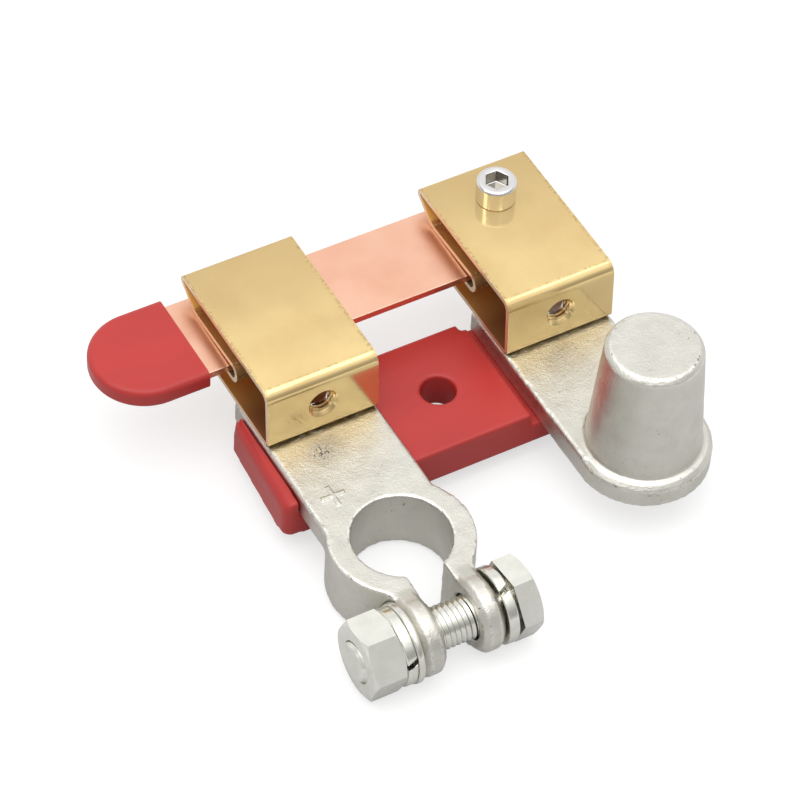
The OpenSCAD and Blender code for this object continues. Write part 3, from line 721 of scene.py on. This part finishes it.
def plated_steel(name, tint, rough_level, haze, socket=None, wall=None, milky=None):
    """Bright plated steel, milky past two places along X, with painted shade on a socket's walls
    """
    material, w, shader, coords = blank_material(name, 1.0)
    skin = use_group(w, plate_skin(), coords)
    wear = use_group(w, edge_wear(), coords, Radius=0.25 * MM)
    tinted = w.mix(w.ramp(skin["Haze"], 0.35, 0.7), tint, tuple(haze * c for c in tint))
    tinted = w.mix(wear["Rubbed"], tinted, tuple(min(1, 1.15 * c) for c in tint))
    if socket:
        flat = w.add("ShaderNodeVectorMath", {0: coords, 1: (1, 1, 0)},
                     operation="MULTIPLY").outputs["Vector"]
        away = w.add("ShaderNodeVectorMath", {0: flat, 1: socket},
                     operation="DISTANCE").outputs["Value"]
        facing = w.add("ShaderNodeSeparateXYZ", {
            "Vector": w.add("ShaderNodeNewGeometry").outputs["True Normal"]}).outputs["Z"]
        # Painted shade on the socket's upright walls
        walls = w.math("MULTIPLY", w.ramp(away, 2.6 * MM, 2.45 * MM),
                       w.ramp(w.math("ABSOLUTE", facing), 0.6, 0.4))
        tinted = w.mix(walls, tinted, wall)
    if milky:
        place = w.add("ShaderNodeSeparateXYZ", {"Vector": coords}).outputs["X"]
        hexagons = w.math("MAXIMUM", w.ramp(place, milky[0], milky[0] - 0.05 * MM),
                          w.ramp(place, milky[1], milky[1] + 0.05 * MM))
        w.feed(shader, "Metallic", w.math(
            "SUBTRACT", 1.0, w.math("MULTIPLY", hexagons, 0.42)))
    w.feed(shader, "Base Color", tinted)
    rough = w.ramp(skin["Haze"], 0.3, 0.7, rough_level, rough_level * 1.6)
    w.feed(shader, "Roughness", w.math("ADD", rough,
                                       w.math("MULTIPLY", skin["Scratches"], 0.05)))
    bumped(w, shader, skin["Dimples"], 0.010 * MM, 1.0)
    return material


MATERIALS = {}


def material_for(slot):
    """The finished material of one of the finish slots"""
    finish = bpy.context.scene.switch_finish
    if slot not in MATERIALS:
        MATERIALS[slot] = {
            "tinned_casting": lambda: cast_metal(finish),
            "brass_sheet": lambda: brass_sheet(finish),
            "copper_blade": lambda: copper_sheet(finish),
            "red_moulding": lambda: red_plastic(finish),
            "bright_nickel": lambda: plated_steel(
                "bright_nickel", tuple(finish.nickel), finish.nickel_rough, 0.93,
                (middle("pivot_screw").x, middle("pivot_screw").y, 0), finish.socket_wall_shade),
            "zinc_plate": lambda: plated_steel(
                "zinc_plate", tuple(finish.zinc), finish.zinc_rough, 0.86,
                milky=(high("clamp_nut").x + 0.1 * MM, high("clamp_bolt").x - BOLT_HEAD)),
        }[slot]()
    return MATERIALS[slot]


# Places of the CAD nodes, in metres

def low(node):
    return Vector(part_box(node)[0])


def high(node):
    return Vector(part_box(node)[1])


def middle(node):
    return (low(node) + high(node)) / 2


# Operators, one for each group of like pieces

class MakeCastings(bpy.types.Operator):
    """Casts the clamp terminal with its plus mark and the post terminal"""
    bl_idname = "knife_switch.castings"
    bl_label = "Cast terminals"

    def execute(self, context):
        sizes = context.scene.switch_sizes
        self.cast(copied("clamp_terminal"), "clamp_casting", "clamp_terminal", sizes,
                  [(-11.2 * MM, 4.0 * MM, 15.5 * MM)])
        self.cast(copied("post_terminal"), "post_casting", "post_terminal", sizes,
                  [(36.7 * MM, 26.3 * MM, 31.6 * MM), (36.6 * MM, 12.6 * MM, 23.6 * MM)])
        return {"FINISHED"}

    def cast(self, bm, name, node, sizes, seams):
        skin = remeshed(bm, sizes.casting_voxel)
        softened(skin, 1)
        rough_rims(skin, sizes.casting_voxel, sizes.rim_nick)
        softened(skin, 1)
        lumpy(skin, sizes.casting_lump, 0.6 * MM)
        for x, near, far in seams:
            flash(skin, x, near, far, low("contact_jaw").z, sizes.flash_rise)
        if node == "clamp_terminal":
            self.mark(skin, Vector((-6.3 * MM, 13.1 * MM, low("contact_jaw").z)), sizes)
        piece(skin, name, material_for("tinned_casting"), "root",
              [node], smooth=80)

    def mark(self, bm, centre, sizes):
        """Raises the plus mark, after its place has got a finer mesh"""
        half = sizes.mark_size / 2
        stroke = sizes.mark_width / 2
        near = [e for e in bm.edges if all(
            (v.co - centre).length < half + 0.8 * MM for v in e.verts)]
        bmesh.ops.subdivide_edges(bm, edges=near, cuts=2, use_grid_fill=True)
        bm.normal_update()
        for vert in bm.verts:
            u = abs(vert.co.x - centre.x)
            v = abs(vert.co.y - centre.y)
            inside = max(min(half - u, stroke - v), min(stroke - u, half - v))
            if inside > 0 and vert.normal.z > 0.5:
                vert.co.z += sizes.mark_rise * min(1.0, inside / (0.22 * MM))


class MakeJaws(bpy.types.Operator):
    """Rounds the two spring jaws' edges, rolls their upper edges and cuts the thread in their
    front walls
    """
    bl_idname = "knife_switch.jaws"
    bl_label = "Fold jaws"

    def execute(self, context):
        sizes = context.scene.switch_sizes
        for node in ("contact_jaw", "pivot_jaw"):
            sheet = copied(node)
            roof = high(node).z - WELD * 5
            rolled = [
                e for e in corners(sheet)
                if min(v.co.z for v in e.verts) > roof
                and abs(e.verts[0].co.x - e.verts[1].co.x) < WELD
            ]
            rounded(sheet, rolled, sizes.sheet_roll, 4)
            rounded(sheet, corners(sheet), sizes.sheet_edge, 2)
            lean = (high(node).z - low(node).z) / 2 * math.tan(math.radians(4))
            hole = Vector((middle(node).x, low(node).y + lean, middle(node).z))
            helix(sheet, hole + Y_AXIS * 0.15 * MM, Y_AXIS, 2.5 * MM,
                  2.5 * MM - sizes.tap_cut, sizes.tap_pitch, 2.2)
            piece(sheet, node + "_spring", material_for("brass_sheet"),
                  "root", [node])
        return {"FINISHED"}


class MakeBlade(bpy.types.Operator):
    """Rounds the edges of the copper blade"""
    bl_idname = "knife_switch.blade"
    bl_label = "Finish blade"

    def execute(self, context):
        sizes = context.scene.switch_sizes
        strip = copied("blade")
        rounded(strip, corners(strip), sizes.blade_edge, 3)
        piece(strip, "copper_strip", material_for("copper_blade"),
              "knife", ["blade"])
        return {"FINISHED"}


class MakeGrip(bpy.types.Operator):
    """Moulds the grip with its round rim and its shallow thumb dish"""
    bl_idname = "knife_switch.grip"
    bl_label = "Mould grip"

    def execute(self, context):
        sizes = context.scene.switch_sizes
        near = low("blade_grip")
        far = high("blade_grip")
        half = (far.y - near.y) / 2
        centre = Vector((near.x + half, (near.y + far.y) / 2, near.z))
        bm = bmesh.new()
        start = bm.verts.new(centre + Y_AXIS * half)
        bmesh.ops.spin(
            bm, geom=[start], cent=centre, axis=Z_AXIS, dvec=(0, 0, 0),
            angle=math.pi, steps=64, use_merge=False, use_normal_flip=False,
            use_duplicate=False,
        )
        for y in (near.y, far.y):
            bm.verts.new((far.x, y, near.z))
        bmesh.ops.remove_doubles(bm, verts=bm.verts[:], dist=WELD)
        outline = sorted(
            bm.verts, key=lambda v: math.atan2(v.co.y - centre.y, v.co.x - centre.x))
        plate = bm.faces.new(outline)
        raised = bmesh.ops.extrude_face_region(bm, geom=[plate])["geom"]
        bmesh.ops.translate(
            bm, vec=Z_AXIS * (far.z - near.z),
            verts=[v for v in raised if isinstance(v, bmesh.types.BMVert)])
        closed(bm)
        rim = [
            e for e in bm.edges
            if abs(e.verts[0].co.z - e.verts[1].co.z) < WELD
            and min(v.co.x for v in e.verts) < far.x - WELD
        ]
        rounded(bm, rim, sizes.grip_edge, 5)
        self.dish(bm, centre, far.z, sizes)
        piece(bm, "red_grip", material_for("red_moulding"), "knife",
              ["blade_grip"])
        return {"FINISHED"}

    def dish(self, bm, centre, top, sizes):
        """Cuts the top into a grid and sinks its middle"""
        reach = sizes.dish_reach
        count = 28
        for axis in (X_AXIS, Y_AXIS):
            for k in range(count + 1):
                place = centre + axis * reach * (2 * k / count - 1)
                flat = [f for f in bm.faces if f.normal.z > 0.99]
                around = {v for f in flat for v in f.verts}
                rims = {e for f in flat for e in f.edges}
                bmesh.ops.bisect_plane(
                    bm, geom=list(around) + list(rims) + flat, dist=WELD / 10,
                    plane_co=place, plane_no=axis)
                bm.normal_update()
        for vert in bm.verts:
            if vert.co.z > top - WELD:
                away = (vert.co - centre).to_2d().length / reach
                if away < 1:
                    vert.co.z -= sizes.dish_depth * math.cos(away * math.pi / 2) ** 2


class MakeBase(bpy.types.Operator):
    """Moulds the red base plate with rounded edges"""
    bl_idname = "knife_switch.base"
    bl_label = "Mould base"

    def execute(self, context):
        sizes = context.scene.switch_sizes
        bm = copied("base_plate")
        corner = Vector((low("base_plate").x, high("base_plate").y, 0))
        bmesh.ops.bisect_plane(
            bm, geom=bm.verts[:] + bm.edges[:] + bm.faces[:], dist=WELD / 10,
            plane_co=corner + Vector((1.5, -2.8, 0)) * MM, plane_no=(-2.8, 2.0, 0),
            clear_outer=True)
        closed(bm)
        skin = remeshed(bm, sizes.base_voxel)
        foot = low("base_plate").z + 1.2 * MM
        lip = corner.x + 3.4 * MM
        lip_end = low("base_plate").y + 3.0 * MM
        softened(skin, 3, [v for v in skin.verts if v.co.z > foot])
        softened(skin, 12, [v for v in skin.verts if v.co.x < lip and v.co.y < lip_end])
        softened(skin, 5, [v for v in skin.verts if v.co.x < lip and v.co.z > 8.5 * MM])
        piece(skin, "red_base", material_for("red_moulding"), "root",
              ["base_plate"], smooth=80)
        return {"FINISHED"}


class MakeBolt(bpy.types.Operator):
    """Cuts the thread of the clamp bolt and rounds its head"""
    bl_idname = "knife_switch.bolt"
    bl_label = "Thread clamp bolt"

    def execute(self, context):
        sizes = context.scene.switch_sizes
        near = low("clamp_bolt")
        far = high("clamp_bolt")
        axis = Vector((0, middle("clamp_bolt").y, middle("clamp_bolt").z))
        under = far.x - BOLT_HEAD
        bm = copied("clamp_bolt")
        bmesh.ops.bisect_plane(
            bm, geom=bm.verts[:] + bm.edges[:] + bm.faces[:], dist=WELD / 10,
            plane_co=(under + WELD, 0, 0), plane_no=-X_AXIS, clear_outer=True)
        closed(bm)
        rounded(bm, corners(bm, 20), sizes.steel_edge, 2)
        rod = threaded_rod(near.x, under + 0.2 * MM, 3.95 * MM, sizes.bolt_cut,
                           sizes.bolt_pitch, 0.8 * MM)
        bmesh.ops.translate(rod, vec=axis, verts=rod.verts[:])
        joined(bm, rod)
        piece(bm, "threaded_bolt", material_for("zinc_plate"), "root",
              ["clamp_bolt"], smooth=40)
        return {"FINISHED"}


class MakeFasteners(bpy.types.Operator):
    """Rounds the edges of the nuts, washers and small screws"""
    bl_idname = "knife_switch.fasteners"
    bl_label = "Finish fasteners"

    def execute(self, context):
        sizes = context.scene.switch_sizes
        plated = {
            "clamp_nut": ("zinc_plate", 2.4),
            "clamp_flat_washer": ("zinc_plate", 0.9),
            "clamp_spring_washer": ("zinc_plate", 1.2),
            "bolt_spring_washer": ("zinc_plate", 1.2),
            "contact_jaw_screw": ("zinc_plate", 0.6),
            "contact_jaw_nut": ("zinc_plate", 0.8),
            "pivot_jaw_screw": ("zinc_plate", 0.6),
            "pivot_jaw_nut": ("zinc_plate", 0.8),
            "pivot_screw": ("bright_nickel", 1.3),
            "pivot_nut": ("bright_nickel", 0.8),
        }
        for node, (slot, part) in plated.items():
            bm = copied(node)
            if node == "clamp_nut":
                end = low(node).x + 1.3 * MM
                rounded(bm, [e for e in corners(bm, 12) if all(
                    v.co.x < end for v in e.verts)], sizes.nut_end, 4)
            rounded(bm, corners(bm, 18), sizes.steel_edge * part, 2)
            piece(bm, node + "_plated", material_for(slot), "root", [node])
        return {"FINISHED"}


class MakeStage(bpy.types.Operator):
    """Sets up the pale floor, the room's light, the lamps and the camera"""
    bl_idname = "knife_switch.stage"
    bl_label = "Set stage"

    def execute(self, context):
        stage = context.scene.switch_stage
        self.floor(stage)
        self.room(context.scene, stage)
        self.lamps(stage)
        self.camera(context.scene, stage)
        context.scene.view_settings.view_transform = "Standard"
        return {"FINISHED"}

    def floor(self, stage):
        bm = bmesh.new()
        bmesh.ops.create_grid(bm, x_segments=1, y_segments=1, size=stage.floor_reach)
        lowest = CAD_BOX[0][2] if len(CAD_BOX) == 2 else 0
        bmesh.ops.translate(bm, vec=(0, 0, lowest - 0.05 * MM), verts=bm.verts[:])
        mesh = bpy.data.meshes.new("floor")
        bm.to_mesh(mesh)
        bm.free()
        material, w, shader, coords = blank_material("pale_floor")
        shader.inputs["Base Color"].default_value = (0.42, 0.42, 0.42, 1)
        shader.inputs["Roughness"].default_value = 0.9
        shader.inputs["Specular IOR Level"].default_value = 0.0
        shader.inputs["Emission Color"].default_value = (1, 1, 1, 1)
        path = w.add("ShaderNodeLightPath").outputs
        seen = w.math("MAXIMUM", path["Is Glossy Ray"], path["Is Transmission Ray"])
        away = w.add("ShaderNodeVectorMath", {0: coords, 1: (0, 0, 0)},
                     operation="DISTANCE").outputs["Value"]
        # Reflections see the floor dimmer near the switch: a painted shadow round it
        seen = w.math("MULTIPLY", seen, w.ramp(away, 60 * MM, 260 * MM, 0.16, 0.50))
        w.feed(shader, "Emission Strength", w.math(
            "MAXIMUM", seen, w.math("MULTIPLY", path["Is Camera Ray"], 0.62)))
        mesh.materials.append(material)
        floor = bpy.data.objects.new("floor", mesh)
        bpy.context.scene.collection.objects.link(floor)

    def room(self, scene, stage):
        world = bpy.data.worlds.new("studio")
        scene.world = world
        world.use_nodes = True
        w = Wiring(world.node_tree)
        background = world.node_tree.nodes["Background"]
        heading = w.add("ShaderNodeTexCoord").outputs["Generated"]
        height = w.add("ShaderNodeSeparateXYZ", {"Vector": heading}).outputs["Z"]
        onward = w.add("ShaderNodeVectorMath", {0: heading, 1: (0.52, 0.85, 0)},
                       operation="DOT_PRODUCT").outputs["Value"]
        near = self.levels(w, height, (
            (0.0, 0.40), (0.22, 0.28), (0.48, 0.44), (0.66, 0.82), (0.80, 0.98), (0.95, 1.0)))
        back = self.levels(w, height, (
            (0.0, 0.72), (0.30, 0.80), (0.58, 0.72), (0.67, 0.74), (0.77, 0.98), (0.95, 1.0)))
        soft = w.mix(w.ramp(onward, -0.1, 0.35), near, back)
        seen = w.add("ShaderNodeLightPath").outputs["Is Camera Ray"]
        w.feed(background, "Color", w.mix(seen, soft, (1, 1, 1)))
        level = w.math("MAXIMUM", seen, stage.sky_level)
        w.feed(background, "Strength", level)

    def levels(self, w, height, stops):
        """Grey levels of the room by the height of the direction"""
        ramp = w.add("ShaderNodeValToRGB", {"Fac": height})
        elements = ramp.color_ramp.elements
        for element, (place, level) in zip(elements, (stops[0], stops[-1])):
            element.position = place
            element.color = (level, level, level, 1)
        for place, level in stops[1:-1]:
            elements.new(place).color = (level, level, level, 1)
        return ramp.outputs["Color"]

    def lamps(self, stage):
        for name, place, size, power in (
            ("top_softbox", (-0.10, -0.15, 1.20), (1.3, 1.1), 5.6),
            ("left_softbox", (-0.80, 0.10, 0.75), (0.3, 0.7), 0.9),
        ):
            lamp = bpy.data.lights.new(name, "AREA")
            lamp.shape = "RECTANGLE"
            lamp.size, lamp.size_y = size
            lamp.energy = power * stage.lamp_level
            thing = bpy.data.objects.new(name, lamp)
            spot = Vector(place)
            aim = (Vector((0.015, 0.02, 0.01)) - spot).to_track_quat("-Z", "Y")
            thing.matrix_world = Matrix.Translation(spot) @ aim.to_matrix().to_4x4()
            bpy.context.scene.collection.objects.link(thing)

    def camera(self, scene, stage):
        lens = bpy.data.cameras.new("camera")
        lens.lens = stage.lens
        lens.sensor_width = 36
        lens.clip_start = 0.01
        camera = bpy.data.objects.new("camera", lens)
        ahead = Vector((
            math.sin(stage.yaw) * math.cos(stage.pitch),
            math.cos(stage.yaw) * math.cos(stage.pitch),
            -math.sin(stage.pitch),
        ))
        right = Vector((math.cos(stage.yaw), -math.sin(stage.yaw), 0))
        up = right.cross(ahead)
        turned_right = right * math.cos(stage.roll) + up * math.sin(stage.roll)
        turned_up = up * math.cos(stage.roll) - right * math.sin(stage.roll)
        placed = Matrix((turned_right, turned_up, -ahead)).transposed().to_4x4()
        placed.translation = Vector(stage.place)
        camera.matrix_world = placed
        scene.collection.objects.link(camera)
        scene.camera = camera


class KnifeSwitchPanel(bpy.types.Panel):
    """Lists the steps that dress the switch"""
    bl_idname = "VIEW3D_PT_knife_switch"
    bl_label = "Knife switch"
    bl_space_type = "VIEW_3D"
    bl_region_type = "UI"
    bl_category = "Knife switch"

    def draw(self, context):
        for step in STEPS:
            self.layout.operator(step.bl_idname)
        for group in ("switch_sizes", "switch_finish", "switch_stage"):
            values = getattr(context.scene, group)
            column = self.layout.column()
            for name in values.__annotations__:
                column.prop(values, name)


STEPS = (MakeCastings, MakeJaws, MakeBlade, MakeGrip, MakeBase, MakeBolt,
         MakeFasteners, MakeStage)
GROUPS = (SwitchSizes, SwitchFinish, SwitchStage)


def register():
    for entry in (*GROUPS, *STEPS, KnifeSwitchPanel):
        bpy.utils.register_class(entry)
    bpy.types.Scene.switch_sizes = PointerProperty(type=SwitchSizes)
    bpy.types.Scene.switch_finish = PointerProperty(type=SwitchFinish)
    bpy.types.Scene.switch_stage = PointerProperty(type=SwitchStage)


def unregister():
    del bpy.types.Scene.switch_sizes
    del bpy.types.Scene.switch_finish
    del bpy.types.Scene.switch_stage
    for entry in (KnifeSwitchPanel, *reversed(STEPS), *reversed(GROUPS)):
        bpy.utils.unregister_class(entry)


def main():
    register()
    bpy.ops.knife_switch.castings()
    bpy.ops.knife_switch.jaws()
    bpy.ops.knife_switch.blade()
    bpy.ops.knife_switch.grip()
    bpy.ops.knife_switch.base()
    bpy.ops.knife_switch.bolt()
    bpy.ops.knife_switch.fasteners()
    bpy.ops.knife_switch.stage()


if __name__ == "__main__":
    main()
